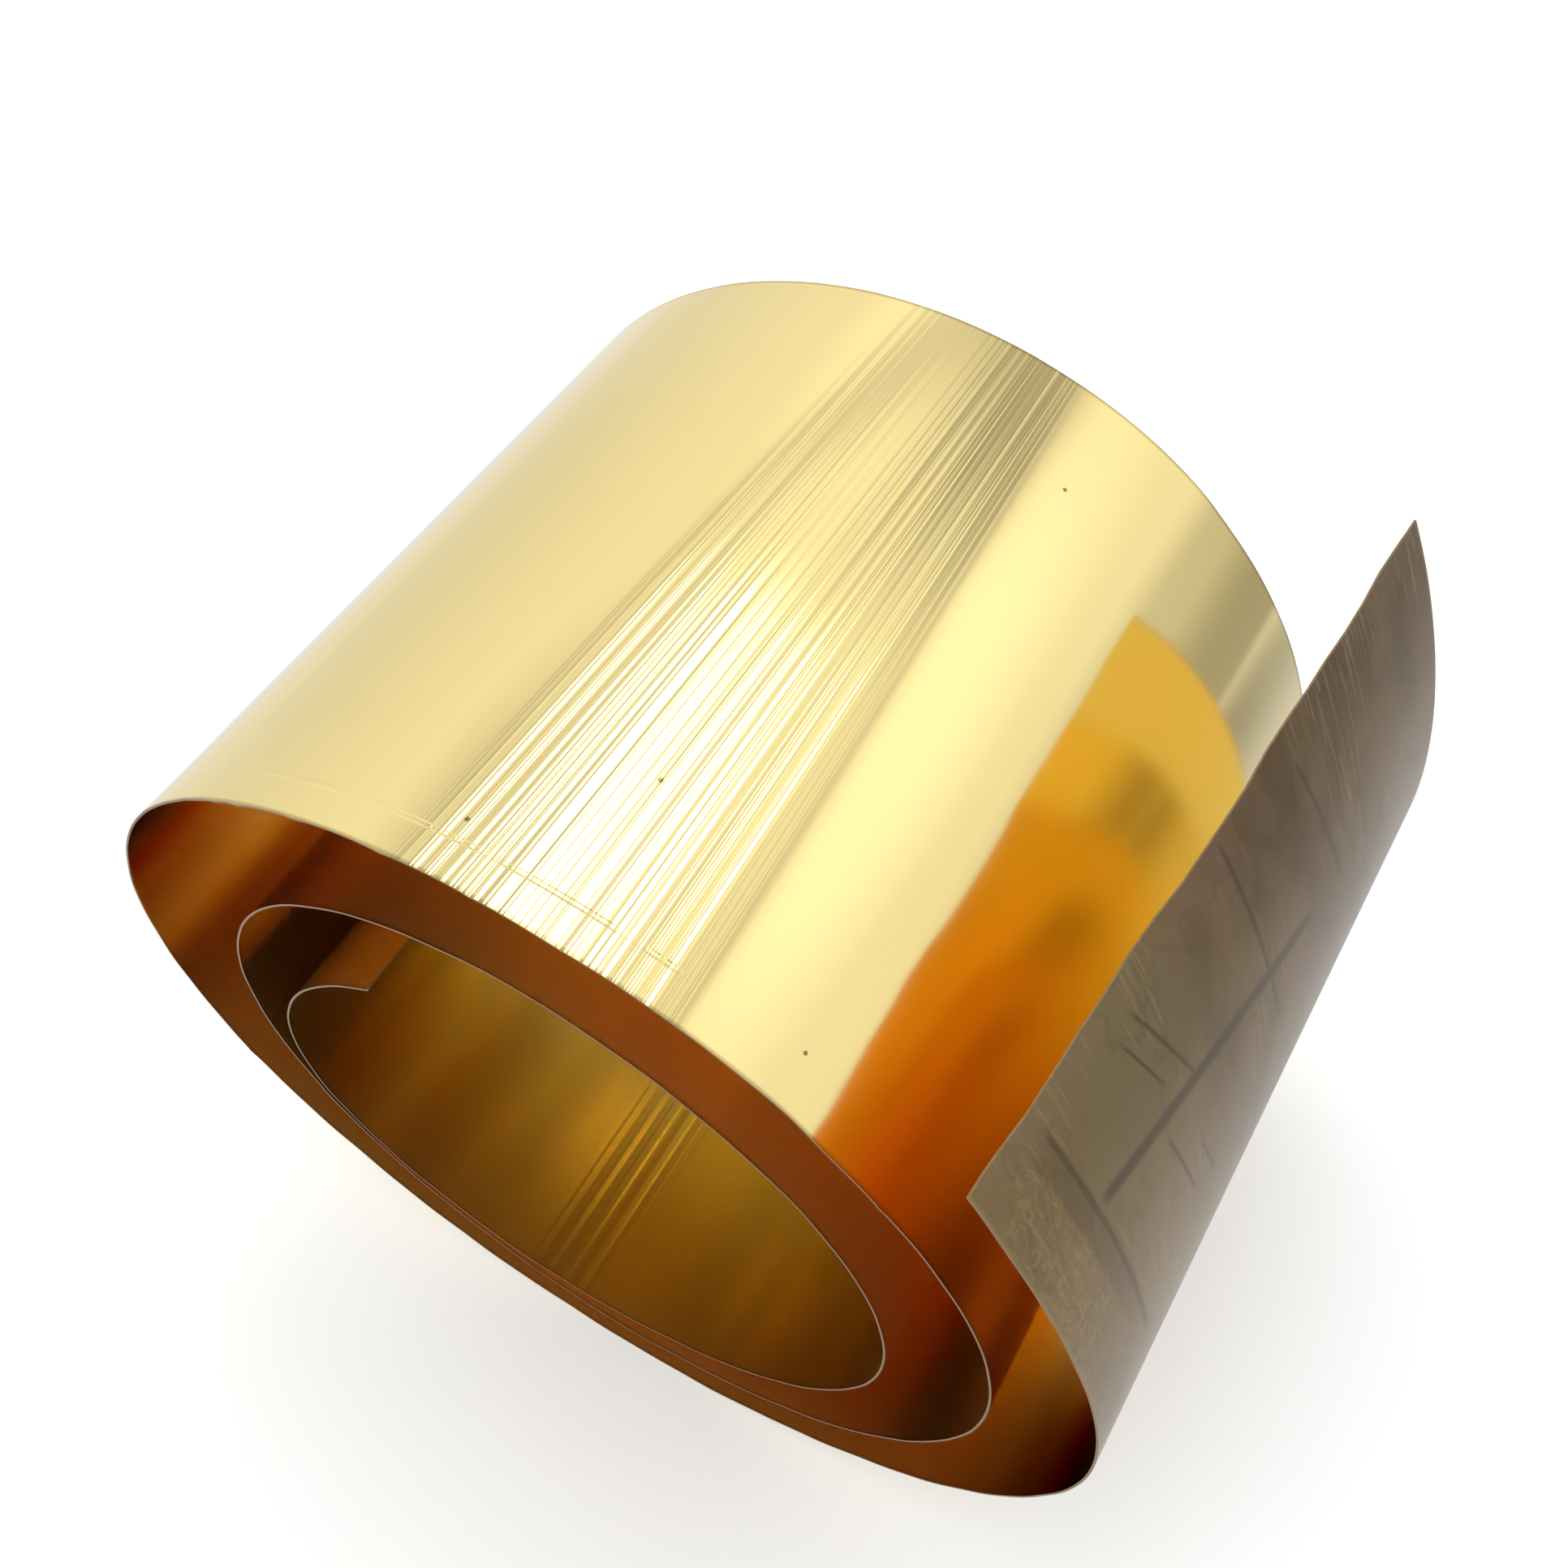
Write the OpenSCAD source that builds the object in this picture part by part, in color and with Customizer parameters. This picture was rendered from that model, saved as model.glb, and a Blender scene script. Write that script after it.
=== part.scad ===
// Roll of thin brass strip that lies on its side: one strip, wound by hand into loose laps.
// X runs across the roll, Y along its axis from the near end to the far end, and Z up.
// The origin is on the surface that the roll lies on, under the middle of its bounding box.

/* [Strip] */
// Width of the strip, which is also the length of the roll
strip_width = 100; // [40:5:200]
// Thickness of the strip
strip_thickness = 0.3; // [0.1:0.05:0.4]

/* [Bend radius of the laps] */
// Cut end inside the roll
inner_end_bend = 55; // [50:1:70]
// Inner lap, at its left
inner_left = 33; // [31:0.5:34.5]
// Inner lap, at its bottom
inner_bottom = 50; // [48:0.5:50.5]
// Inner lap, at its right
inner_right = 49; // [47:0.5:49.5]
// Inner lap, at its top
inner_top = 48; // [47.5:0.5:50]
// Middle lap, at its left
middle_left = 52; // [51.5:0.5:54]
// Middle lap, at its bottom
middle_bottom = 55.5; // [53:0.5:57]
// Middle lap, at its right
middle_right = 59.5; // [57:0.5:62]
// Middle lap, at its top
middle_top = 65.5; // [62:0.5:68]
// Outer lap, at its left
outer_left = 60.5; // [58:0.5:64]
// Outer lap, at its bottom
outer_bottom = 75; // [70:0.5:78]
// Outer lap, at its right
outer_right = 60; // [56:0.5:63]
// Free outer end, which is nearly straight
outer_end_bend = 133; // [100:1:200]

/* [Ends] */
// Turn that the strip lacks from its inner end to the left of the inner lap, in degrees
inner_end_turn = 61; // [40:1:70]
// Turn that the strip makes past the right of the outer lap to its free end, in degrees
outer_end_turn = 32; // [10:1:36]
// How far the far corner of the free end is bent outwards
flare = 8.5; // [0:0.5:10]
// Length of strip at the free end over which that bend grows
flare_length = 86; // [60:1:120]
// How much further back the free end is cut at its far corner than at its near one
skew = 3; // [0:0.5:5]

/* [Smoothness] */
// Turn of one short straight stretch of the strip, in degrees
step_turn = 5.7; // [2:0.1:6]

/* [Hidden] */

// The strip heads straight down at the left of each lap and straight up at its right.
down = 270;
quarter = 90;
// Shape of the flare: above 1, it starts softly
flare_power = 1.25;

// Bend radii in their order along the strip, a quarter turn apart between the two ends
bends = [
    inner_end_bend,
    inner_left, inner_bottom, inner_right, inner_top,
    middle_left, middle_bottom, middle_right, middle_top,
    outer_left, outer_bottom, outer_right,
    outer_end_bend];
last = len(bends) - 1;
// Heading of the strip at each bend radius, counted on through all the laps
headings = [for (i = [0 : last])
    i == 0 ? down - inner_end_turn
    : i == last ? down + (last - 2) * quarter + outer_end_turn
    : down + (i - 1) * quarter];

steps = ceil((headings[last] - headings[0]) / step_turn);
turn = (headings[last] - headings[0]) / steps;

// Eases from 0 to 1, so that the bend radius has no sudden change
function ease(t) = (1 - cos(180 * t)) / 2;

// Bend radius at a heading, blended between the two nearest given radii
function bend_at(heading, i = 0) =
    heading > headings[i + 1] && i < last - 1 ? bend_at(heading, i + 1)
    : let (t = (heading - headings[i]) / (headings[i + 1] - headings[i]))
      bends[i] + (bends[i + 1] - bends[i]) * ease(t);

function heading_at(i) = headings[0] + i * turn;
function ahead(heading) = [cos(heading), sin(heading)];
function outward(heading) = [sin(heading), -cos(heading)];

// Length of each straight stretch, and the direction of its middle
lengths = [for (i = [0 : steps - 1]) 2 * bend_at(heading_at(i + 0.5)) * sin(turn / 2)];
strides = [for (i = [0 : steps - 1]) lengths[i] * ahead(heading_at(i + 0.5))];

// Places of the strip's middle line at the near end of the roll, from the inner end to the free end
line = [for (i = 0, p = [0, 0]; i <= steps; p = i < steps ? p + strides[i] : p, i = i + 1) p];

// Length of strip from each place to the free end
left_over = [for (i = steps, d = 0; i >= 0; i = i - 1, d = i >= 0 ? d + lengths[i] : d) d];

// Grows from 0 to 1 along the last stretch of strip, up to the free end
function grown(i) = pow(max(0, 1 - left_over[steps - i] / flare_length), flare_power);

// How far the far edge is from the near edge at each place, seen along the axis
function far_shift(i) = grown(i) * (flare * outward(heading_at(i)) - skew * ahead(heading_at(i)));

// A row of places: side is 1 on the outer face and -1 on the inner, and end is 0 near and 1 far
function row(side, end) = [for (i = [0 : steps])
    line[i] + side * strip_thickness / 2 * outward(heading_at(i)) + end * far_shift(i)];

near_outer = row(1, 0);
far_outer = row(1, 1);
far_inner = row(-1, 1);
near_inner = row(-1, 0);
rows = concat(near_outer, far_outer, far_inner, near_inner);
count = steps + 1;

// The box around all rows puts the origin under its middle
xs = [for (p = rows) p[0]];
zs = [for (p = rows) p[1]];
middle_x = (min(xs) + max(xs)) / 2;
floor_z = min(zs);

function placed(side_row, y) = [for (p = side_row) [p[0] - middle_x, y, p[1] - floor_z]];

// Triangles between two rows of places, along the whole strip. Both faces of the strip are split
// from near place i to far place i + 1, so that it stays equally thick where the end is bent.
function skin(a, b) = [for (i = [0 : steps - 1], second = [false, true])
    second ? [a * count + i, a * count + i + 1, b * count + i + 1]
    : [a * count + i, b * count + i + 1, b * count + i]];

// The same triangles, seen from the other side
function turned(faces) = [for (f = faces) [f[2], f[1], f[0]]];

// Two triangles that close a cut end, at place i
function cut(i) = [
    [i, count + i, 2 * count + i],
    [i, 2 * count + i, 3 * count + i]];

module brass_strip() {
    points = concat(
        placed(near_outer, -strip_width / 2),
        placed(far_outer, strip_width / 2),
        placed(far_inner, strip_width / 2),
        placed(near_inner, -strip_width / 2));
    faces = concat(
        skin(0, 1), turned(skin(3, 2)), skin(3, 0), turned(skin(2, 1)),
        cut(0), turned(cut(steps)));
    color([0.86, 0.72, 0.38]) polyhedron(points, faces);
}

brass_strip();
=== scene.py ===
# Roll of thin brass strip that lies on its side, for Blender 4.5.
# Lengths of the strip are in millimetres until the mesh is made, and everything else is in metres.
# X runs across the roll, Y along its axis away from the camera, and Z up.
import math

import bpy
import numpy as np
from mathutils import Matrix, Vector


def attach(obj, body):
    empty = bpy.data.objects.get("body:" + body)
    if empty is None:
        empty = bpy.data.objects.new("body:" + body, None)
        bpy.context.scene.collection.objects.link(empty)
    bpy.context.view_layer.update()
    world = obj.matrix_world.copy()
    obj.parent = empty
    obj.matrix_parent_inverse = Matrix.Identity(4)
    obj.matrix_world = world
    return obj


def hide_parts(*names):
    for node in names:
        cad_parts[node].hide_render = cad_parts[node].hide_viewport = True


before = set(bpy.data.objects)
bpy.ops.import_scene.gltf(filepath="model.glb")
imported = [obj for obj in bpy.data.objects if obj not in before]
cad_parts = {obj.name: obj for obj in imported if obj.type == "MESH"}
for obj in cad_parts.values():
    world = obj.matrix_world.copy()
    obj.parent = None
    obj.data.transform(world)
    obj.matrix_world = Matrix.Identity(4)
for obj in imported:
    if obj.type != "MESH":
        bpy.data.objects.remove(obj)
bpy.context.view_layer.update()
scene = bpy.context.scene

MM = 0.001

# Strip, as in the part's source
STRIP_WIDTH = 100.0
STRIP_THICKNESS = 0.3
# Bend radii a quarter turn apart, from the cut end inside the roll to the free outer end
INNER_END_BEND = 55.0
INNER_LAP = (33.0, 50.0, 49.0, 48.0)
MIDDLE_LAP = (52.0, 55.5, 59.5, 65.5)
OUTER_LAP = (60.5, 75.0, 60.0)
OUTER_END_BEND = 133.0
INNER_END_TURN = 61.0
OUTER_END_TURN = 32.0
FLARE = 8.5
FLARE_LENGTH = 86.0
FLARE_POWER = 1.25
SKEW = 3.0
DOWN = 270.0
QUARTER = 90.0

# All bend radii in their order along the strip, and its heading at each of them, in degrees
BENDS = (INNER_END_BEND, *INNER_LAP, *MIDDLE_LAP, *OUTER_LAP, OUTER_END_BEND)
LAST = len(BENDS) - 1
HEADINGS = (DOWN - INNER_END_TURN,
            *(DOWN + i * QUARTER for i in range(LAST - 1)),
            DOWN + (LAST - 2) * QUARTER + OUTER_END_TURN)

# Fineness of the mesh: turn of one column in degrees, and places across the strip as shares of its width
COLUMN_TURN = 0.75
ACROSS = (0.0, 0.003, 0.01, 0.025, 0.05, 0.1, 0.15, 0.2, 0.25, 0.3, 0.35, 0.4, 0.45, 0.5,
          0.55, 0.6, 0.65, 0.7, 0.75, 0.8, 0.85, 0.9, 0.95, 0.975, 0.99, 0.997, 1.0)

# Where along the strip the next material starts, on its outer face and on its inner face
OUTER_STARTS = (500.0, 840.0)
INNER_STARTS = (305.0, 860.0)

# Slow waves of the cut edges, of the sheared free end and of the bend, which a strip wound by hand has.
# Each wave has its height, its length divided by 2 pi, and its shift.
EDGE_WAVES = ((0.035, 7.3, 0.4), (0.03, 3.1, 2.0), (0.02, 1.7, 0.0))
END_WAVES = ((0.35, 13.0, 0.6), (0.25, 5.2, 1.9), (0.12, 2.3, 0.0))
BEND_WAVES = ((0.05, 23.0, 1.0), (0.03, 11.5, 0.0))
# The far edge has lower waves than the near edge, taken from another stretch
FAR_EDGE_SHIFT = 311.0
FAR_EDGE_SHARE = 0.6
# Length of strip over which the waves of the free end grow
END_WAVES_LENGTH = 7.0
# Share of the bend's waves that the near edge has, where the far edge has all of them
BEND_WAVES_NEAR = 0.4

# Small burrs and nicks of the near edge on the outer lap: place along the strip, half length, height
BURRS = ((648.0, 1.2, 0.10), (643.5, 0.8, 0.13), (634.0, 0.9, 0.12), (622.0, 1.1, 0.09), (611.0, 0.7, 0.08),
         (655.0, 1.5, -0.10), (560.0, 0.8, 0.08), (742.0, 1.0, 0.09))

# Place across the outer lap that is pressed slightly flat: its start and end along the strip at the near
# edge and at the far edge, and the lengths over which its slope and its height die out
FLAT_PLACE_NEAR = (566.0, 572.7)
FLAT_PLACE_FAR = (564.4, 568.6)
FLAT_PLACE_SLOPE_END = 4.5
FLAT_PLACE_HEIGHT_END = 30.0
FLAT_PLACE_POINTS = 400


def bend_radii(headings):
    """Bend radius at each heading, eased between the given ones."""
    place = np.interp(headings, HEADINGS, range(len(HEADINGS)))
    low = np.minimum(place.astype(int), LAST - 1)
    share = (1 - np.cos(math.pi * (place - low))) / 2
    given = np.array(BENDS)
    return given[low] * (1 - share) + given[low + 1] * share


def section():
    """The strip's middle line seen along the axis, with its headings and lengths, column by column."""
    columns = math.ceil((HEADINGS[-1] - HEADINGS[0]) / COLUMN_TURN)
    headings = np.linspace(HEADINGS[0], HEADINGS[-1], columns + 1)
    middles = np.radians((headings[1:] + headings[:-1]) / 2)
    radii = bend_radii(np.degrees(middles))
    turn = np.radians(headings[1] - headings[0])
    lengths = 2 * radii * np.sin(turn / 2)
    strides = lengths[:, None] * np.stack([np.cos(middles), np.sin(middles)], axis=1)
    line = np.vstack([[0.0, 0.0], np.cumsum(strides, axis=0)])
    along = np.concatenate([[0.0], np.cumsum(lengths)])
    return np.radians(headings), line, along


def smooth(low, high, x):
    """Goes smoothly from 0 at low to 1 at high."""
    t = np.clip((x - low) / (high - low), 0, 1)
    return t * t * (3 - 2 * t)


def waves(parts, place):
    """Sum of the given waves at each place."""
    return sum(height * np.sin(place / length + shift) for height, length, shift in parts)


def edge_waves(along):
    """How far the cut edge stands out from its straight line at each column."""
    out = waves(EDGE_WAVES, along)
    for middle, half, height in BURRS:
        out += height * np.exp(-((along - middle) / half) ** 2)
    return out


def flat_place(along, across):
    """Height of the flat place over the plain roll, in millimetres."""
    start = FLAT_PLACE_NEAR[0] + (FLAT_PLACE_FAR[0] - FLAT_PLACE_NEAR[0]) * across
    end = FLAT_PLACE_NEAR[1] + (FLAT_PLACE_FAR[1] - FLAT_PLACE_NEAR[1]) * across
    level = end + FLAT_PLACE_SLOPE_END
    fine = np.linspace(start, level, FLAT_PLACE_POINTS)
    slope = np.interp(fine, (start, end, level), (0.0, (end - start) / OUTER_LAP[0], 0.0))
    rise = np.cumsum(slope) * (fine[1] - fine[0])
    return np.interp(along, fine, rise) * (1 - smooth(level, level + FLAT_PLACE_HEIGHT_END, along))


def strip_points(heading, line, along):
    """Places of all vertices, by side (outer, inner), column and row, with the roll standing on the floor."""
    rows = len(ACROSS)
    ahead = np.stack([np.cos(heading), np.sin(heading)], axis=1)
    outward = np.stack([np.sin(heading), -np.cos(heading)], axis=1)
    total = along[-1]
    grown = np.maximum(0, 1 - (total - along) / FLARE_LENGTH) ** FLARE_POWER
    shift = grown[:, None] * (FLARE * outward - SKEW * ahead)
    near_wave = edge_waves(along)
    far_wave = edge_waves(along + FAR_EDGE_SHIFT) * FAR_EDGE_SHARE
    end_share = smooth(total - END_WAVES_LENGTH, total, along)
    uneven = waves(BEND_WAVES, along)[:, None]
    points = np.zeros((2, len(along), rows, 3))
    for side, sign in enumerate((1.0, -1.0)):
        for j, w in enumerate(ACROSS):
            share = BEND_WAVES_NEAR + (1 - BEND_WAVES_NEAR) * w
            flat = line + w * shift + outward * (sign * STRIP_THICKNESS / 2 + uneven * share)
            end_wave = end_share * waves(END_WAVES, w * STRIP_WIDTH)
            flat = flat + ahead * end_wave[:, None] + outward * flat_place(along, w)[:, None]
            edge = -near_wave if j == 0 else far_wave if j == rows - 1 else 0.0
            points[side, :, j, 0] = flat[:, 0]
            points[side, :, j, 1] = (w - 0.5) * STRIP_WIDTH + edge
            points[side, :, j, 2] = flat[:, 1]
    points[..., 0] -= (points[..., 0].min() + points[..., 0].max()) / 2
    points[..., 2] -= points[..., 2].min()
    return points


def strip_faces(count, rows):
    """Quads of the outer face and the inner face, then those of the two long cut edges and the two ends."""

    def at(side, i, j):
        return side * count * rows + i * rows + j

    i, j = np.meshgrid(np.arange(count - 1), np.arange(rows - 1), indexing="ij")
    i, j = i.ravel(), j.ravel()
    k = np.arange(count - 1)
    m = np.arange(rows - 1)
    top = rows - 1
    end = count - 1
    return np.vstack([
        np.stack([at(0, i, j), at(0, i + 1, j), at(0, i + 1, j + 1), at(0, i, j + 1)], axis=1),
        np.stack([at(1, i, j), at(1, i, j + 1), at(1, i + 1, j + 1), at(1, i + 1, j)], axis=1),
        np.stack([at(0, k, 0), at(1, k, 0), at(1, k + 1, 0), at(0, k + 1, 0)], axis=1),
        np.stack([at(0, k, top), at(0, k + 1, top), at(1, k + 1, top), at(1, k, top)], axis=1),
        np.stack([at(0, 0, m), at(0, 0, m + 1), at(1, 0, m + 1), at(1, 0, m)], axis=1),
        np.stack([at(0, end, m), at(1, end, m), at(1, end, m + 1), at(0, end, m + 1)], axis=1)])


def face_materials(along, faces):
    """Material of each face: by its place along the strip, and the last material on the cut edges."""
    places = np.repeat(along[:-1], len(ACROSS) - 1)
    outer = np.searchsorted(OUTER_STARTS, places, side="right")
    inner = len(OUTER_STARTS) + 1 + np.searchsorted(INNER_STARTS, places, side="right")
    cut = np.full(faces - 2 * len(places), len(OUTER_STARTS) + len(INNER_STARTS) + 2)
    return np.concatenate([outer, inner, cut])


def add_strip_map(mesh, along):
    """UV map that holds the place along the strip and across it, in metres."""
    rows = len(ACROSS)
    corner = np.zeros(len(mesh.loops), int)
    mesh.loops.foreach_get("vertex_index", corner)
    place = corner % (len(along) * rows)
    u = along[place // rows] * MM
    v = np.array(ACROSS)[place % rows] * STRIP_WIDTH * MM
    uv = mesh.uv_layers.new(name="strip")
    uv.data.foreach_set("uv", np.stack([u, v], axis=1).ravel())


def mark_sharp_edges(mesh, count, rows):
    """Marks the edges where the cuts meet the two faces of the strip as sharp."""
    ends = np.zeros(len(mesh.edges) * 2, int)
    mesh.edges.foreach_get("vertices", ends)
    ends = ends.reshape(-1, 2)
    row = ends % rows
    side, column = np.divmod(ends // rows, count)
    long_cut = (row[:, 0] == row[:, 1]) & np.isin(row[:, 0], (0, rows - 1))
    end_cut = (column[:, 0] == column[:, 1]) & np.isin(column[:, 0], (0, count - 1))
    same_side = side[:, 0] == side[:, 1]
    sharp = mesh.attributes.new("sharp_edge", "BOOLEAN", "EDGE")
    sharp.data.foreach_set("value", (long_cut | end_cut) & same_side)


def make_strip():
    """The whole strip as one closed mesh."""
    heading, line, along = section()
    points = strip_points(heading, line, along).reshape(-1, 3) * MM
    faces = strip_faces(len(along), len(ACROSS))
    mesh = bpy.data.meshes.new("brass_strip_wound")
    mesh.from_pydata(points.tolist(), [], faces.tolist())
    mesh.update()
    mesh.polygons.foreach_set("material_index", face_materials(along, len(faces)))
    mesh.polygons.foreach_set("use_smooth", np.ones(len(faces), bool))
    add_strip_map(mesh, along)
    mark_sharp_edges(mesh, len(along), len(ACROSS))
    obj = bpy.data.objects.new("brass_strip_wound", mesh)
    scene.collection.objects.link(obj)
    return obj


class Graph:
    """Short names for the shader nodes of one node tree. A value is a number, a colour or a node's output."""

    def __init__(self, owner):
        owner.use_nodes = True
        self.tree = owner.node_tree
        self.tree.nodes.clear()

    def node(self, kind):
        return self.tree.nodes.new(kind)

    def put(self, value, socket):
        if isinstance(value, (int, float, tuple)):
            socket.default_value = value
        else:
            self.tree.links.new(value, socket)

    def math(self, operation, a, b=0.0, c=0.0):
        node = self.node("ShaderNodeMath")
        node.operation = operation
        for value, socket in zip((a, b, c), node.inputs):
            self.put(value, socket)
        return node.outputs[0]

    def times(self, first, *factors):
        for factor in factors:
            first = self.math("MULTIPLY", first, factor)
        return first

    def times_plus(self, a, b, c):
        """a times b, plus c."""
        return self.math("MULTIPLY_ADD", a, b, c)

    def ease(self, value, low, high, start=0.0, end=1.0):
        """Goes smoothly from start to end, as value goes from low to high."""
        node = self.node("ShaderNodeMapRange")
        node.interpolation_type = "SMOOTHSTEP"
        node.inputs["From Min"].default_value = low
        node.inputs["From Max"].default_value = high
        node.inputs["To Min"].default_value = start
        node.inputs["To Max"].default_value = end
        self.put(value, node.inputs["Value"])
        return node.outputs[0]

    def window(self, value, low, high, soft):
        """1 between low and high, and 0 outside them, with soft borders."""
        rise = self.ease(value, low - soft, low + soft)
        fall = self.ease(value, high - soft, high + soft, 1.0, 0.0)
        return self.times(rise, fall)

    def between(self, share, a, b):
        """Number between a and b."""
        node = self.node("ShaderNodeMix")
        self.put(share, node.inputs[0])
        self.put(a, node.inputs[2])
        self.put(b, node.inputs[3])
        return node.outputs[0]

    def mix(self, share, a, b):
        """Colour between a and b."""
        node = self.node("ShaderNodeMix")
        node.data_type = "RGBA"
        self.put(share, node.inputs[0])
        self.put(a, node.inputs[6])
        self.put(b, node.inputs[7])
        return node.outputs[2]

    def cover(self, color, mark, mask, strength):
        """The colour with a mark of another colour over it, by mask times strength."""
        return self.mix(self.times(mask, strength), color, mark)

    def mix_shaders(self, share, a, b):
        """Shader between a and b."""
        node = self.node("ShaderNodeMixShader")
        for value, socket in zip((share, a, b), node.inputs):
            self.put(value, socket)
        return node.outputs[0]

    def finish(self, kind, shader):
        """Ends the tree in an output node."""
        self.put(shader, self.node(kind).inputs[0])


class StripGraph(Graph):
    """Nodes of one material of the strip, with the places along it and across it in metres."""

    def __init__(self, name):
        self.material = bpy.data.materials.new(name)
        super().__init__(self.material)
        strip_map = self.node("ShaderNodeUVMap")
        strip_map.uv_map = "strip"
        parts = self.node("ShaderNodeSeparateXYZ")
        self.put(strip_map.outputs["UV"], parts.inputs[0])
        self.along = parts.outputs[0]
        self.across = parts.outputs[1]

    def noise(self, along_scale, across_scale, detail=2.0, rough=0.5, offset=0.0, warp=0.0, place=None):
        """Noise over the strip, or over another place than the one along it. Scales are per metre."""
        spread = self.node("ShaderNodeCombineXYZ")
        place = self.along if place is None else place
        self.put(self.times_plus(place, along_scale, offset), spread.inputs[0])
        self.put(self.times(self.across, across_scale), spread.inputs[1])
        node = self.node("ShaderNodeTexNoise")
        node.noise_dimensions = "2D"
        node.inputs["Scale"].default_value = 1.0
        node.inputs["Detail"].default_value = detail
        node.inputs["Roughness"].default_value = rough
        node.inputs["Distortion"].default_value = warp
        self.put(spread.outputs[0], node.inputs["Vector"])
        return node.outputs[0]


WHITE = (1.0, 1.0, 1.0, 1.0)
BRASS = (0.93, 0.765, 0.345, 1.0)
BRASS_DEEP = (0.90, 0.73, 0.31, 1.0)
# Inner face in the eye, in the gaps between the laps and on the free end.
# The eye's colours are darker than bare brass, which is painted shade deep inside the roll, and its lighter
# colour is a painted highlight.
EYE_SHADED = (0.69, 0.53, 0.20, 1.0)
EYE_SHADED_DEEP = (0.62, 0.47, 0.17, 1.0)
EYE_GLINT = (0.94, 0.74, 0.22, 1.0)
GAP = (0.962, 0.845, 0.51, 1.0)
GAP_DEEP = (0.948, 0.815, 0.47, 1.0)
FREE_END = (0.945, 0.685, 0.19, 1.0)
FREE_END_DEEP = (0.915, 0.645, 0.15, 1.0)
# Painted shade in the gaps between the laps, red-brown, seen straight on and at a glancing angle
GAP_SHADE = (0.22, 0.10, 0.07, 1.0)
GAP_SHADE_GLANCING = (0.20, 0.11, 0.15, 1.0)
# Dull film on the outside of the free end, and the marks in it
FILM_DARK = (0.105, 0.055, 0.011, 1.0)
FILM_PALE = (0.185, 0.112, 0.040, 1.0)
FILM_GREEN = (0.130, 0.103, 0.036, 1.0)
FILM_PINK = (0.205, 0.118, 0.066, 1.0)
FILM_RUBBED = (0.320, 0.235, 0.110, 1.0)
FILM_LINE = (0.060, 0.033, 0.012, 1.0)
FILM_GOLD = (0.36, 0.27, 0.085, 1.0)
# Round specks on the outer lap
SPECK = (0.25, 0.20, 0.08, 1.0)
# Painted shade in a thin line beside each long cut edge, where it curls slightly, and the cut edges
# themselves
EDGE_CURL_SHADE = (0.30, 0.22, 0.08, 1.0)
EDGE_LIGHT = (0.40, 0.27, 0.15, 1.0)
EDGE_DARK = (0.26, 0.16, 0.08, 1.0)

# How strongly the marks cover the film, the painted highlights the eye, and the painted shade the brass
# beside a cut edge
PINK_STRENGTH = 0.5
GREEN_STRENGTH = 0.6
PALER_STRENGTH = 0.42
STREAK_STRENGTH = 0.45
VEIN_STRENGTH = 0.16
SPECKLE_STRENGTH = 0.45
LINE_STRENGTH = 0.6
CROSS_LINE_STRENGTH = 0.7
LINE_BAND_STRENGTH = 0.28
EYE_GLINT_STRENGTH = 0.9
EDGE_CURL_SHADE_STRENGTH = 0.6

# Film: how much less metallic and how much rougher than bare brass it is, and its gloss and sheen
FILM_LESS_METAL = 0.45
FILM_ROUGHER = 0.24
FILM_GLOSS = 0.5
FILM_SHEEN = 0.32
SHEEN_ROUGHNESS = 0.3
# Gloss of bare brass
BARE_GLOSS = 0.15
# Roughness of the outer lap, of the outer face inside it, of the inner face, of the eye and of the cut edges,
# and how much handling marks add to it
POLISHED = 0.085
OUTER_SATIN = 0.14
INNER_SATIN = 0.13
EYE_SATIN = 0.15
EDGE_ROUGH = 0.35
HANDLED = 0.03

# Offsets of noise, so that the outer and the inner face have different patterns
OUTER_HAZE = 11.0
INNER_HAZE = 41.0
INNER_CLOUDS = 31.0
OUTER_GRAIN = 3.0
FREE_END_GRAIN = 23.0

# How far from each long cut edge the painted shade beside it starts to fade, and how far it reaches, in
# metres
EDGE_CURL_SHADE_NEAR = (0.0001, 0.0005)
EDGE_CURL_SHADE_FAR = (0.0001, 0.0006)

# Where looks change along the strip: start and end of each change, in metres
EYE_ENDS = (0.27, 0.30)
OUTER_LAP_STARTS = (0.535, 0.560)
FILM_STARTS = (0.87, 0.91)
FILM_START_RAGGEDNESS = 0.03
FREE_END_STARTS = (0.900, 0.935)
# Places on the film, each with its start and end: where it is greenish, where it gets paler towards the near
# edge, and the speckled corner. The third value, where there is one, is a softness.
GREEN_ALONG = (0.958, 0.972)
GREEN_ACROSS = (0.013, 0.034, 0.006)
PALER_ACROSS = (0.010, 0.065)
CORNER_ALONG = (0.952, 0.979, 0.004)
CORNER_ACROSS = (0.007, 0.010)
# Two painted highlights across the eye, lighter stripes where it glints: start, end and softness
EYE_GLINT_STRIPES = ((0.109, 0.124, 0.006), (0.060, 0.067, 0.005))
# Painted shade in the gaps, and bands of ridges, across the strip: start, end, softness and strength
GAP_SHADE_PLACES = ((0.340, 0.365, 0.016, 0.35), (0.676, 0.722, 0.020, 0.95))
FREE_END_SHADE_PLACES = ((0.884, 0.925, 0.014, 0.95),)
EYE_BANDS = ((0.100, 0.112, 0.003, 0.8), (0.252, 0.259, 0.002, 0.6))
WOUND_IN_BANDS = ((0.252, 0.259, 0.002, 0.6), (0.401, 0.410, 0.002, 0.7))
GAP_BANDS = ((0.401, 0.410, 0.002, 0.7), (0.778, 0.792, 0.003, 0.9), (0.824, 0.831, 0.002, 0.9))
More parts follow.
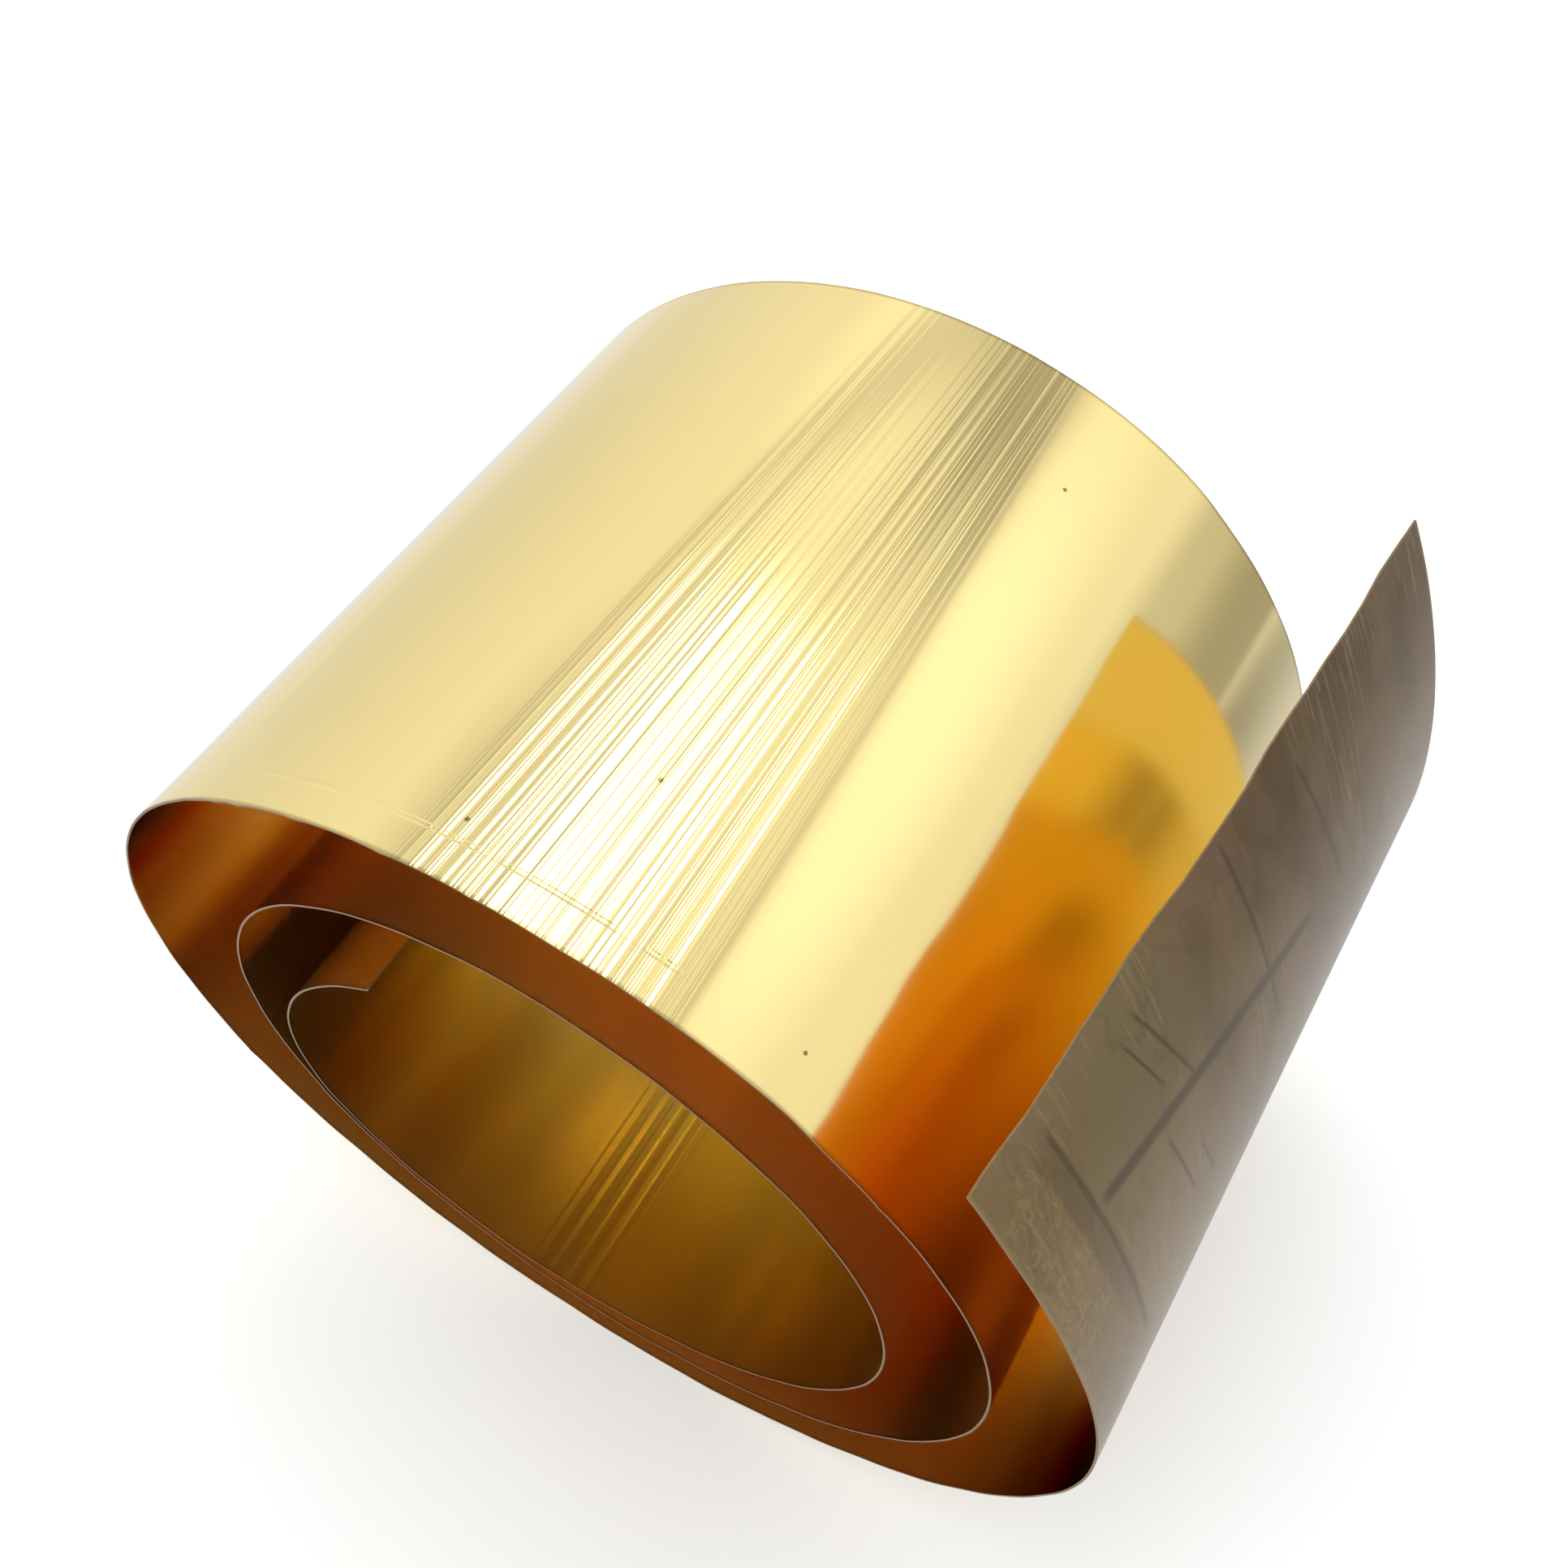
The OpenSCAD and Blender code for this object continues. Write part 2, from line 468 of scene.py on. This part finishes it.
# How far from the near edge the painted shade in the gaps is full, how far it reaches, and how ragged it is
# there
GAP_SHADE_FULL_DEPTH = 0.006
GAP_SHADE_DEPTH = 0.110
FREE_END_SHADE_DEPTH = 0.075
GAP_SHADE_RAGGEDNESS = 0.012
# Stretch of the outer lap that is slightly wavy: start, end and softness
WAVY_STRETCH = (0.530, 0.800, 0.025)

# Bundle of fine ridges across the outer lap, in metres along the strip. It narrows towards the far end.
BUNDLE_MIDDLE = 0.6045
BUNDLE_HALF = 0.0155
BUNDLE_NARROWING = 2.2
# Its border, in half widths from its middle
BUNDLE_BORDER = (0.75, 1.15)
# How much weaker it is on the side of the free end, and where that grows: across, and in half widths
SIDE_FADING = 0.55
SIDE_FADING_ACROSS = (0.020, 0.080)
SIDE_FADING_PLACE = (-0.5, 0.3)
# Share of its height that is left at the far edge, and where across it gets lower
FAR_HEIGHT = 0.45
FAR_ACROSS = (0.035, 0.100)
# Heights of what the bump of the materials shows, in metres
BAND_HEIGHT = 2.0e-4
RIDGE_HEIGHT = 2.7e-4
WAVE_HEIGHT = 2.5e-4
FILM_WAVE_HEIGHT = 4.0e-5
GRAIN_HEIGHT = 1.5e-7
SCRATCH_DEPTH = 4.0e-5

# Thin lines in the film along the strip, in metres: place across at the strip's start if the line went on to
# there, its slope, the stretch along the strip that it covers, and its half width
FILM_LINES = (
    (0.05435, -0.0448, 0.940, 0.979, 0.00035),
    (0.3258, -0.306, 0.9628, 0.9778, 0.00022),
    (0.3067, -0.290, 0.9670, 0.9765, 0.00018),
    (0.1824, -0.165, 0.9485, 0.9600, 0.00022),
    (0.2196, -0.200, 0.9450, 0.9530, 0.00018),
    (0.1063, -0.060, 0.9500, 0.9810, 0.00025),
    (0.2641, -0.205, 0.9550, 0.9770, 0.00028),
)
# Long scratch close to the near edge of the outer lap, with the same values
SCRATCH = (0.0047, 0.0, 0.5905, 0.6610, 0.00022)
# Share of its depth that it has where it is faintest
SCRATCH_FAINTEST = 0.3
# Soft dark line across the film, with the same values but along and across exchanged
CROSS_LINE = (0.9681, -0.188, 0.0125, 0.0600, 0.0007)
# Darker band beside the first line: start, end and softness, away from the line and along the strip
LINE_BAND_OFF = (0.0, 0.0030, 0.0004)
LINE_BAND_ALONG = (0.946, 0.978, 0.006)
# Border of a line, in half widths from its middle, and the length over which its ends fade
LINE_BORDER = (0.5, 2.0)
LINE_END = 0.0012
# Level of the noise that the veins follow, and how far from it they start to fade and end
VEIN_LEVEL = 0.5
VEIN_BORDER = (0.004, 0.022)
# Round specks on the outer face: place along the strip and across it, and radius. Their border is in radii.
SPECKS = ((0.6030, 0.0210, 0.00035), (0.5860, 0.0840, 0.0003), (0.5760, 0.0060, 0.00025),
          (0.6166, 0.0071, 0.0003))
SPECK_BORDER = (0.6, 1.3)


def surface(graph, color, rough, height=None, metal=1.0, glancing=None, gloss=BARE_GLOSS, sheen=0.0):
    """Surface of a material, with a bump height in metres and a tint at glancing angles where it has them."""
    shader = graph.node("ShaderNodeBsdfPrincipled")
    graph.put(color, shader.inputs["Base Color"])
    graph.put(rough, shader.inputs["Roughness"])
    graph.put(metal, shader.inputs["Metallic"])
    graph.put(gloss, shader.inputs["Specular IOR Level"])
    graph.put(sheen, shader.inputs["Sheen Weight"])
    graph.put(SHEEN_ROUGHNESS, shader.inputs["Sheen Roughness"])
    if glancing is not None:
        graph.put(glancing, shader.inputs["Specular Tint"])
    if height is not None:
        bump = graph.node("ShaderNodeBump")
        bump.inputs["Strength"].default_value = 1.0
        bump.inputs["Distance"].default_value = 1.0
        graph.put(height, bump.inputs["Height"])
        graph.put(bump.outputs[0], shader.inputs["Normal"])
    graph.finish("ShaderNodeOutputMaterial", shader.outputs[0])
    return graph.material


def line_mask(graph, place, other, base, slope, low, high, half):
    """1 on a thin line where place is base + slope times other, between low and high of other."""
    off = graph.math("SUBTRACT", place, graph.times_plus(other, slope, base))
    thin = graph.ease(graph.math("ABSOLUTE", off), half * LINE_BORDER[0], half * LINE_BORDER[1], 1.0, 0.0)
    return graph.times(thin, graph.window(other, low, high, LINE_END))


def bundle_height(graph):
    """Height of the bundle of fine ridges on the outer lap, in metres."""
    # Place in the bundle, from -1 to 1 over its width at each place across
    width = graph.times_plus(graph.across, -BUNDLE_NARROWING * BUNDLE_HALF, BUNDLE_HALF)
    place = graph.math("DIVIDE", graph.math("SUBTRACT", graph.along, BUNDLE_MIDDLE), width)
    inside = graph.ease(graph.math("ABSOLUTE", place), *BUNDLE_BORDER, 1.0, 0.0)
    fading = graph.ease(graph.across, *SIDE_FADING_ACROSS)
    fading = graph.times(fading, graph.ease(place, *SIDE_FADING_PLACE))
    inside = graph.times(inside, graph.times_plus(fading, -SIDE_FADING, 1.0))
    inside = graph.times(inside, graph.ease(graph.across, *FAR_ACROSS, 1.0, FAR_HEIGHT))
    fan = graph.noise(15.0, 2.0, rough=0.55, place=place)
    return graph.times(fan, inside, width, RIDGE_HEIGHT / BUNDLE_HALF)


def sum_of_stripes(graph, stripes):
    """Sum of soft stripes across the strip, each with its start, end, softness and strength."""
    total = 0.0
    for start, end, soft, strength in stripes:
        total = graph.times_plus(graph.window(graph.along, start, end, soft), strength, total)
    return total


def band_height(graph, bands):
    """Height of weaker bands of ridges, in metres."""
    ridges = graph.noise(700.0, 2.0, detail=1.0, rough=0.45)
    return graph.times(ridges, sum_of_stripes(graph, bands), BAND_HEIGHT)


def add_grain(graph, height, offset):
    """Adds the faint rolling grain along the strip, in metres."""
    grain = graph.noise(30.0, 2500.0, detail=1.0, offset=offset)
    return graph.times_plus(grain, GRAIN_HEIGHT, height)


def haze(graph, level, offset):
    """Roughness of a given level, to which cloudy handling marks add."""
    return graph.times_plus(graph.noise(30.0, 60.0, rough=0.6, offset=offset), HANDLED, level)


def brass_clouds(graph, offset=0.0):
    """Large clouds in which the brass is slightly deeper in colour."""
    return graph.noise(18.0, 25.0, offset=offset)


def paint_edge_curl_shade(graph, color):
    """Painted shade: darker colour in a thin line beside both long cut edges, where they curl slightly."""
    width = STRIP_WIDTH * MM
    near = graph.ease(graph.across, *EDGE_CURL_SHADE_NEAR, 1.0, 0.0)
    far = graph.ease(graph.across, width - EDGE_CURL_SHADE_FAR[1], width - EDGE_CURL_SHADE_FAR[0])
    return graph.cover(color, EDGE_CURL_SHADE, graph.math("MAXIMUM", near, far), EDGE_CURL_SHADE_STRENGTH)


def paint_gap_shade(graph, color, places, depth):
    """Colour with painted shade in the gaps, fading out from the near edge, and its glancing tint."""
    ragged = graph.noise(60.0, 60.0, detail=3.0, offset=51.0)
    across = graph.times_plus(ragged, GAP_SHADE_RAGGEDNESS, graph.across)
    fading = graph.ease(across, GAP_SHADE_FULL_DEPTH, depth, 1.0, 0.0)
    share = graph.times(sum_of_stripes(graph, places), fading)
    return graph.mix(share, color, GAP_SHADE), graph.mix(share, WHITE, GAP_SHADE_GLANCING)


def film_clouds(graph):
    """Mottled brown of the dull film, with pinkish and greenish places."""
    clouds = graph.noise(38.0, 62.0, detail=6.0, rough=0.66, offset=7.0, warp=0.3)
    color = graph.mix(graph.ease(clouds, low=0.30, high=0.74), FILM_DARK, FILM_PALE)
    pink = graph.noise(24.0, 30.0, detail=3.0, rough=0.6, offset=61.0)
    pink = graph.ease(pink, low=0.46, high=0.66)
    color = graph.cover(color, FILM_PINK, pink, PINK_STRENGTH)
    greenish = graph.window(graph.across, *GREEN_ACROSS)
    greenish = graph.times(greenish, graph.ease(graph.along, *GREEN_ALONG))
    return graph.cover(color, FILM_GREEN, greenish, GREEN_STRENGTH)


def rub_film(graph, color):
    """Makes the film paler towards the near edge, and finely rubbed along the strip in patches."""
    paler = graph.ease(graph.across, *PALER_ACROSS, PALER_STRENGTH, 0.0)
    color = graph.mix(paler, color, FILM_RUBBED)
    streaks = graph.noise(75.0, 1300.0, rough=0.6, offset=71.0, warp=0.3)
    streaks = graph.ease(streaks, low=0.54, high=0.74)
    patches = graph.ease(graph.noise(45.0, 60.0, offset=81.0), low=0.38, high=0.60)
    return graph.cover(color, FILM_RUBBED, graph.times(streaks, patches), STREAK_STRENGTH)


def mark_film(graph, color):
    """Adds veins that wander along the strip, and speckles of bare brass near the corner."""
    veins = graph.noise(45.0, 80.0, detail=3.0, rough=0.55, offset=17.0, warp=0.4)
    veins = graph.math("ABSOLUTE", graph.math("SUBTRACT", veins, VEIN_LEVEL))
    color = graph.cover(color, FILM_LINE, graph.ease(veins, *VEIN_BORDER, 1.0, 0.0), VEIN_STRENGTH)
    corner = graph.ease(graph.across, *CORNER_ACROSS, 1.0, 0.0)
    corner = graph.times(corner, graph.window(graph.along, *CORNER_ALONG))
    speckles = graph.noise(700.0, 900.0, detail=3.0, rough=0.7, offset=2.0, warp=1.0)
    speckles = graph.ease(speckles, low=0.50, high=0.66)
    return graph.cover(color, FILM_GOLD, graph.times(speckles, corner), SPECKLE_STRENGTH)


def line_film(graph, color):
    """Adds the line across the film, the lines along it, and a darker band beside the first of them."""
    lines = graph.times(line_mask(graph, graph.along, graph.across, *CROSS_LINE), CROSS_LINE_STRENGTH)
    base, slope = FILM_LINES[0][:2]
    off = graph.math("SUBTRACT", graph.times_plus(graph.along, slope, base), graph.across)
    band = graph.times(graph.window(off, *LINE_BAND_OFF), graph.window(graph.along, *LINE_BAND_ALONG))
    lines = graph.math("MAXIMUM", lines, graph.times(band, LINE_BAND_STRENGTH))
    for line in FILM_LINES:
        thin = line_mask(graph, graph.across, graph.along, *line)
        lines = graph.math("MAXIMUM", lines, graph.times(thin, LINE_STRENGTH))
    return graph.mix(lines, color, FILM_LINE)


def brass_color(graph):
    """Colour of the polished outer lap and of the laps wound inside it, and the share of the latter."""
    color = graph.mix(brass_clouds(graph), BRASS, BRASS_DEEP)
    wound_in = graph.ease(graph.along, *OUTER_LAP_STARTS, 1.0, 0.0)
    return graph.mix(wound_in, color, GAP), wound_in


def add_specks(graph, color):
    for along, across, radius in SPECKS:
        off_along = graph.math("SUBTRACT", graph.along, along)
        off_across = graph.math("SUBTRACT", graph.across, across)
        squares = graph.times_plus(off_along, off_along, graph.times(off_across, off_across))
        far = graph.math("SQRT", squares)
        speck = graph.ease(far, radius * SPECK_BORDER[0], radius * SPECK_BORDER[1], 1.0, 0.0)
        color = graph.mix(speck, color, SPECK)
    return color


def outer_lap_material():
    graph = StripGraph("brass_outer_lap")
    broken = graph.noise(150.0, 20.0, offset=9.0)
    broken = graph.ease(broken, low=0.35, high=0.5, start=SCRATCH_FAINTEST)
    scratch = graph.times(line_mask(graph, graph.across, graph.along, *SCRATCH), broken)
    height = graph.times_plus(scratch, -SCRATCH_DEPTH, bundle_height(graph))
    # Slow waviness of sheet that has been handled, which shows in what the lap mirrors
    wavy = graph.times(graph.noise(16.0, 9.0, offset=91.0), graph.window(graph.along, *WAVY_STRETCH))
    height = graph.times_plus(wavy, WAVE_HEIGHT, height)
    color, wound_in = brass_color(graph)
    color = paint_edge_curl_shade(graph, add_specks(graph, color))
    level = graph.times_plus(wound_in, INNER_SATIN - POLISHED, POLISHED)
    rough = haze(graph, level, OUTER_HAZE)
    return surface(graph, color, rough, add_grain(graph, height, OUTER_GRAIN))


def wound_in_material():
    graph = StripGraph("brass_outer_face_wound_in")
    color = paint_edge_curl_shade(graph, graph.mix(brass_clouds(graph), GAP, GAP_DEEP))
    rough = haze(graph, OUTER_SATIN, OUTER_HAZE)
    return surface(graph, color, rough, band_height(graph, WOUND_IN_BANDS))


def film_material():
    graph = StripGraph("brass_dull_free_end")
    # The dull film has a ragged start
    ragged = graph.noise(40.0, 40.0, detail=3.0, offset=5.0)
    along = graph.times_plus(ragged, FILM_START_RAGGEDNESS, graph.along)
    film = graph.ease(along, *FILM_STARTS)
    bare, _ = brass_color(graph)
    marked = line_film(graph, mark_film(graph, rub_film(graph, film_clouds(graph))))
    color = paint_edge_curl_shade(graph, graph.mix(film, bare, marked))
    metal = graph.times_plus(film, -FILM_LESS_METAL, 1.0)
    rough = graph.times_plus(film, FILM_ROUGHER, haze(graph, POLISHED, OUTER_HAZE))
    # Slight waviness that shows in the sheen of the film
    wavy = graph.times(graph.noise(55.0, 110.0, offset=21.0), FILM_WAVE_HEIGHT)
    height = add_grain(graph, wavy, OUTER_GRAIN)
    return surface(graph, color, rough, height, metal=metal, gloss=FILM_GLOSS, sheen=FILM_SHEEN)


def eye_material():
    graph = StripGraph("brass_eye")
    # Painted shade: the eye is coloured darker than bare brass, deep inside the roll
    color = graph.mix(brass_clouds(graph, INNER_CLOUDS), EYE_SHADED, EYE_SHADED_DEEP)
    # Painted highlights: two lighter stripes where the eye glints
    stripes = [graph.window(graph.along, *stripe) for stripe in EYE_GLINT_STRIPES]
    color = graph.cover(color, EYE_GLINT, graph.math("MAXIMUM", *stripes), EYE_GLINT_STRENGTH)
    color = graph.mix(graph.ease(graph.along, *EYE_ENDS), color, GAP)
    level = graph.ease(graph.along, *EYE_ENDS, EYE_SATIN, INNER_SATIN)
    rough = haze(graph, level, INNER_HAZE)
    return surface(graph, paint_edge_curl_shade(graph, color), rough, band_height(graph, EYE_BANDS))


def inner_gap_material():
    graph = StripGraph("brass_inner_face")
    color = graph.mix(brass_clouds(graph, INNER_CLOUDS), GAP, GAP_DEEP)
    # Painted shade in the gaps between the laps, with a darker tint at glancing angles
    color, glancing = paint_gap_shade(graph, color, GAP_SHADE_PLACES, GAP_SHADE_DEPTH)
    rough = haze(graph, INNER_SATIN, INNER_HAZE)
    height = band_height(graph, GAP_BANDS)
    return surface(graph, paint_edge_curl_shade(graph, color), rough, height, glancing=glancing)


def free_end_inner_material():
    graph = StripGraph("brass_free_end_inner_face")
    clouds = brass_clouds(graph, INNER_CLOUDS)
    start = graph.ease(graph.along, *FREE_END_STARTS)
    color = graph.mix(start, graph.mix(clouds, GAP, GAP_DEEP), graph.mix(clouds, FREE_END, FREE_END_DEEP))
    # Painted shade where the free end stands over the lap below, with a darker tint at glancing angles
    color, glancing = paint_gap_shade(graph, color, FREE_END_SHADE_PLACES, FREE_END_SHADE_DEPTH)
    rough = haze(graph, INNER_SATIN, INNER_HAZE)
    height = add_grain(graph, 0.0, FREE_END_GRAIN)
    return surface(graph, paint_edge_curl_shade(graph, color), rough, height, glancing=glancing)


def edge_material():
    graph = StripGraph("brass_cut_edge")
    color = graph.mix(graph.noise(900.0, 900.0), EDGE_LIGHT, EDGE_DARK)
    return surface(graph, color, EDGE_ROUGH)


# In the order of the materials along the outer face, then along the inner face, and the cut edges last
strip = make_strip()
for material in (wound_in_material, outer_lap_material, film_material,
                 eye_material, inner_gap_material, free_end_inner_material, edge_material):
    strip.data.materials.append(material())
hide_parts("brass_strip")
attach(strip, "root")

# Camera, fitted to the outlines of the strip in the photograph. PICTURE is its width in pixels.
PICTURE = 1932
FOCAL_PIXELS = 1997.11
SENSOR_WIDTH = 36.0
CAMERA_PLACE = (0.075151, -0.105598, 0.253224)
CAMERA_ELEVATION = math.radians(51.81)
CAMERA_AZIMUTH = math.radians(34.91)
CAMERA_ROLL = math.radians(-5.83)
CAMERA_NEAREST = 0.005
CAMERA_FARTHEST = 50.0


def make_camera():
    data = bpy.data.cameras.new("camera")
    data.sensor_width = SENSOR_WIDTH
    data.lens = SENSOR_WIDTH * FOCAL_PIXELS / PICTURE
    data.clip_start = CAMERA_NEAREST
    data.clip_end = CAMERA_FARTHEST
    camera = bpy.data.objects.new("camera", data)
    level = math.cos(CAMERA_ELEVATION)
    forward = Vector((-level * math.sin(CAMERA_AZIMUTH), level * math.cos(CAMERA_AZIMUTH),
                      -math.sin(CAMERA_ELEVATION)))
    flat_right = Vector((math.cos(CAMERA_AZIMUTH), math.sin(CAMERA_AZIMUTH), 0))
    flat_up = flat_right.cross(forward)
    right = math.cos(CAMERA_ROLL) * flat_right + math.sin(CAMERA_ROLL) * flat_up
    up = right.cross(forward)
    turned = Matrix((right, up, -forward)).transposed().to_4x4()
    camera.matrix_world = Matrix.Translation(CAMERA_PLACE) @ turned
    scene.collection.objects.link(camera)
    scene.camera = camera


FLOOR_RADIUS = 0.52
FLOOR_SIDES = 96
FLOOR_COLOR = (0.92, 0.92, 0.92, 1.0)
FLOOR_GLOW = 0.2
# How bright the floor is in the metal, which mirrors a darker studio than the camera sees
FLOOR_MIRRORED = 0.72
# A darker place of it beside the roll: its middle, the radii between which it eases out, and its brightness
SHADE_MIDDLE = (0.33, 0.13, 0.0)
SHADE_RADII = (0.06, 0.27)
SHADE_MIRRORED = 0.21

# Soft lighter and darker parts of the studio that the metal mirrors. Each is a disc, or a ring where it has
# a radius: azimuth from the front towards +X and elevation, then radius, half width and softness, all in
# degrees, and its brightness.
STUDIO_PARTS = (
    ((140.0, 44.0), 0.0, 13.0, 9.0, 1.32),
    ((-158.0, 42.0), 0.0, 10.0, 7.0, 1.2),
    ((-171.0, 66.0), 25.0, 3.5, 3.0, 0.64),
    ((168.0, 43.0), 0.0, 7.0, 5.0, 0.60),
    ((-124.0, 46.0), 0.0, 6.0, 5.0, 0.82),
    ((134.0, -8.0), 0.0, 16.0, 12.0, 0.42),
    ((-120.0, -5.0), 0.0, 25.0, 22.0, 0.82),
)
WORLD_LIGHT = 1.0

# How often light bounces between the laps, and off the floor
MIRROR_BOUNCES = 24
FLOOR_BOUNCES = 4

# Round lamp over the roll. Its radiance is its light per area and solid angle.
SOFTBOX_PLACE = (-0.10, 0.36, 0.98)
SOFTBOX_TARGET = (0.0, 0.0, 0.06)
SOFTBOX_DIAMETER = 0.42
SOFTBOX_RADIANCE = 2.5


def seen_directly(graph):
    """1 for camera, glossy and transmission rays, which see the white surroundings, and 0 for all others."""
    rays = graph.node("ShaderNodeLightPath").outputs
    seen = graph.math("MAXIMUM", rays["Is Camera Ray"], rays["Is Glossy Ray"])
    return graph.math("MAXIMUM", seen, rays["Is Transmission Ray"])


def only_mirrored(graph, value):
    """The value for glossy rays, and 1 for all others."""
    rays = graph.node("ShaderNodeLightPath").outputs
    return graph.between(rays["Is Glossy Ray"], 1.0, value)


def mirrored_floor(graph):
    """Share of its light that the floor keeps: less for glossy rays, and 1 for all others."""
    distance = graph.node("ShaderNodeVectorMath")
    distance.operation = "DISTANCE"
    graph.put(graph.node("ShaderNodeNewGeometry").outputs["Position"], distance.inputs[0])
    graph.put(SHADE_MIDDLE, distance.inputs[1])
    shade = graph.ease(distance.outputs["Value"], *SHADE_RADII, SHADE_MIRRORED, FLOOR_MIRRORED)
    return only_mirrored(graph, shade)


def floor_material():
    material = bpy.data.materials.new("pale_floor")
    graph = Graph(material)
    diffuse = graph.node("ShaderNodeBsdfDiffuse")
    graph.put(FLOOR_COLOR, diffuse.inputs["Color"])
    glow = graph.node("ShaderNodeEmission")
    graph.put(graph.times(seen_directly(graph), FLOOR_GLOW), glow.inputs["Strength"])
    both = graph.node("ShaderNodeAddShader")
    graph.put(diffuse.outputs[0], both.inputs[0])
    graph.put(glow.outputs[0], both.inputs[1])
    black = graph.node("ShaderNodeEmission")
    graph.put(0.0, black.inputs["Strength"])
    dimmed = graph.mix_shaders(mirrored_floor(graph), black.outputs[0], both.outputs[0])
    graph.finish("ShaderNodeOutputMaterial", dimmed)
    return material


def make_floor():
    mesh = bpy.data.meshes.new("floor")
    angles = [2 * math.pi * i / FLOOR_SIDES for i in range(FLOOR_SIDES)]
    rim = [(FLOOR_RADIUS * math.cos(t), FLOOR_RADIUS * math.sin(t), 0) for t in angles]
    mesh.from_pydata(rim, [], [tuple(range(FLOOR_SIDES))])
    mesh.materials.append(floor_material())
    floor = bpy.data.objects.new("floor", mesh)
    scene.collection.objects.link(floor)


def studio_part(graph, direction, toward, radius, half, soft, value):
    """A soft disc of the surroundings, or a ring where it has a radius: value in it, and 1 elsewhere."""
    azimuth, elevation = math.radians(toward[0]), math.radians(toward[1])
    middle = graph.node("ShaderNodeVectorMath")
    middle.operation = "DOT_PRODUCT"
    graph.put(direction, middle.inputs[0])
    middle.inputs[1].default_value = (math.cos(elevation) * math.sin(azimuth),
                                      -math.cos(elevation) * math.cos(azimuth), math.sin(elevation))
    angle = graph.math("ARCCOSINE", middle.outputs["Value"])
    off = graph.math("ABSOLUTE", graph.math("SUBTRACT", angle, math.radians(radius)))
    return graph.ease(off, math.radians(half - soft), math.radians(half + soft), value, 1.0)


def background(graph, strength):
    """Even white light from all sides."""
    light = graph.node("ShaderNodeBackground")
    graph.put(WHITE, light.inputs["Color"])
    graph.put(strength, light.inputs["Strength"])
    return light.outputs[0]


def make_world():
    world = bpy.data.worlds.new("studio")
    scene.world = world
    graph = Graph(world)
    world.cycles.sampling_method = "NONE"
    direction = graph.node("ShaderNodeTexCoord").outputs["Generated"]
    studio = 1.0
    for part in STUDIO_PARTS:
        studio = graph.times(studio, studio_part(graph, direction, *part))
    mirrored = background(graph, only_mirrored(graph, studio))
    both = graph.mix_shaders(seen_directly(graph), background(graph, WORLD_LIGHT), mirrored)
    graph.finish("ShaderNodeOutputWorld", both)


def make_softbox():
    data = bpy.data.lights.new("overhead_softbox", "AREA")
    data.shape = "DISK"
    data.size = SOFTBOX_DIAMETER
    data.energy = SOFTBOX_RADIANCE * math.pi * math.pi * SOFTBOX_DIAMETER ** 2 / 4
    lamp = bpy.data.objects.new("overhead_softbox", data)
    lamp.location = SOFTBOX_PLACE
    lamp.rotation_euler = (Vector(SOFTBOX_TARGET) - Vector(SOFTBOX_PLACE)).to_track_quat("-Z", "Y").to_euler()
    scene.collection.objects.link(lamp)


make_camera()
make_floor()
make_world()
make_softbox()

scene.cycles.max_bounces = MIRROR_BOUNCES
scene.cycles.glossy_bounces = MIRROR_BOUNCES
scene.cycles.diffuse_bounces = FLOOR_BOUNCES
scene.cycles.denoising_input_passes = "RGB"
scene.view_settings.view_transform = "Standard"
